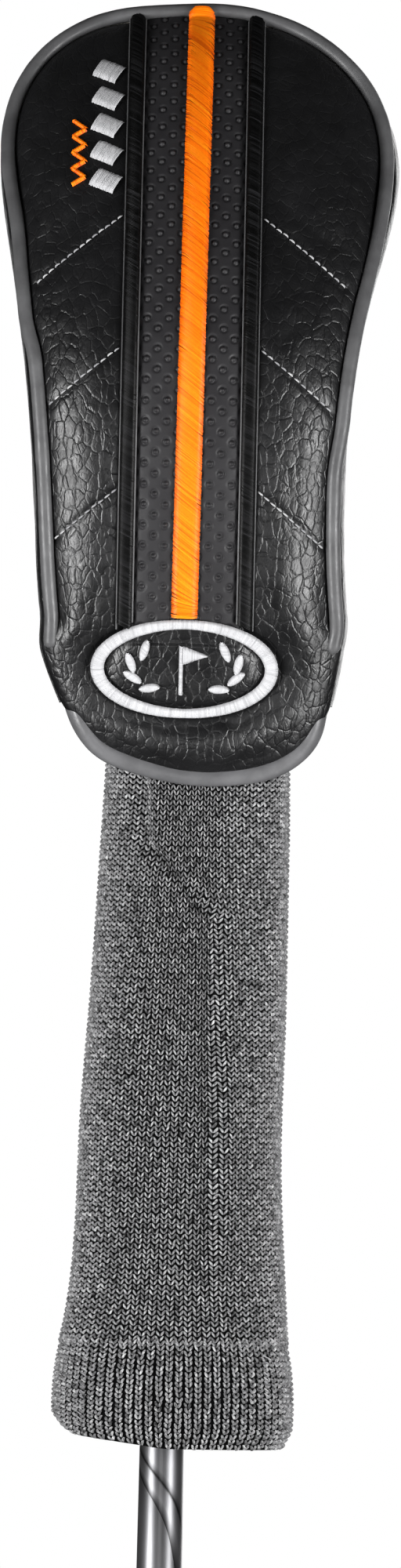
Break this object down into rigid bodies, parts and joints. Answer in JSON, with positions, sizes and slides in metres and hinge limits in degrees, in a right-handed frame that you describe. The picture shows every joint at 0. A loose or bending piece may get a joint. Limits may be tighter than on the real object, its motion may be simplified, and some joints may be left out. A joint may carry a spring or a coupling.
{
  "type": "fairway wood",
  "caption": "Golf club of the fairway wood family with a compact hollow head, an adjustable hosel sleeve, a graphite shaft, a rubber grip and a padded headcover with a knitted sock.",
  "frame": {"origin": "centre of the butt end of the grip, on the shaft axis", "axes": "+Z along the shaft from the butt to the head, +X the way the club face looks, -Y the front of the headcover"},
  "size_m": [0.0997, 0.1257, 1.1047],
  "materials": {
    "grip_rubber": "matt, textured",
    "tape": "paper tape",
    "shaft_carbon": "clear-coated metallic grey graphite with dark swirls",
    "plug_plastic": "plain",
    "ferrule_plastic": "polished",
    "sleeve_alloy": "anodised",
    "head_steel": "satin, dark",
    "face_steel": "brushed, with score lines",
    "crown_carbon": "clear-coated woven carbon",
    "bar_titanium": "plain",
    "tungsten": "blasted",
    "bolt_steel": "dark plated",
    "black_leather": "pebbled, semi-gloss",
    "dimpled_strip": "matt, with small round dimples",
    "black_satin": "satin stitch",
    "orange_satin": "satin stitch",
    "white_satin": "satin stitch",
    "white_thread": "lock stitch",
    "grey_piping": "smooth, semi-matt",
    "foam": "foam sheet",
    "plush_lining": "short pile",
    "elastic": "ribbed",
    "grey_knit": "heathered grey knit"
  },
  "bodies": {
    "club": {"grip": "grip_rubber", "grip_tape": "tape", "shaft": "shaft_carbon", "tip_plug": "plug_plastic", "ferrule": "ferrule_plastic", "shaft_sleeve": "sleeve_alloy"},
    "head": {"head_body": "head_steel", "face_cup": "face_steel", "crown_plate": "crown_carbon", "stiffener_bars": "bar_titanium", "sole_weight": "tungsten", "bolt_washer": "bolt_steel"},
    "hosel_bolt": {"hosel_bolt": "bolt_steel"},
    "weight_screw": {"weight_screw": "tungsten"},
    "cover": {"front_panel": "black_leather", "dimple_strip": "dimpled_strip", "strip_binding_left": "black_satin", "strip_binding_right": "black_satin", "orange_stripe": "orange_satin", "badge_ring": "white_satin", "badge_motif": "white_satin", "side_bars": "white_satin", "side_zigzag": "orange_satin", "chevron_stitching": "white_thread", "back_panel": "black_leather", "gusset": "black_leather", "piping_front": "grey_piping", "piping_back": "grey_piping", "hem_binding": "grey_piping", "foam_padding": "foam", "cover_lining": "plush_lining", "throat_elastic": "elastic", "knit_sock": "grey_knit"},
    "cuff": {"sock_cuff": "grey_knit", "cuff_seam_stitches": "white_thread"}
  },
  "joints": [
    {"name": "head_off", "type": "slide", "parent": "club", "child": "head", "axis": [0, 0, 1], "range_m": [0, 0.045]},
    {"name": "hosel_bolt_turn", "type": "hinge", "parent": "head", "child": "hosel_bolt", "pos_m": [0, 0, 1.034], "axis": [0, 0, 1], "continuous": true},
    {"name": "weight_screw_turn", "type": "hinge", "parent": "head", "child": "weight_screw", "pos_m": [-0.024, 0.03392, 1.0622], "axis": [0, 0.5299, -0.848], "continuous": true},
    {"name": "cover_pull", "type": "slide", "parent": "head", "child": "cover", "axis": [0, 0, 1], "range_m": [0, 0.36], "deforming": ["gusset", "back_panel", "piping_front", "piping_back", "hem_binding", "foam_padding", "cover_lining", "throat_elastic", "knit_sock", "sock_cuff", "cuff_seam_stitches"]},
    {"name": "cuff_gather", "type": "slide", "parent": "cover", "child": "cuff", "axis": [0, 0, 1], "range_m": [0, 0.05], "deforming": ["knit_sock", "sock_cuff", "cuff_seam_stitches"]}
  ]
}
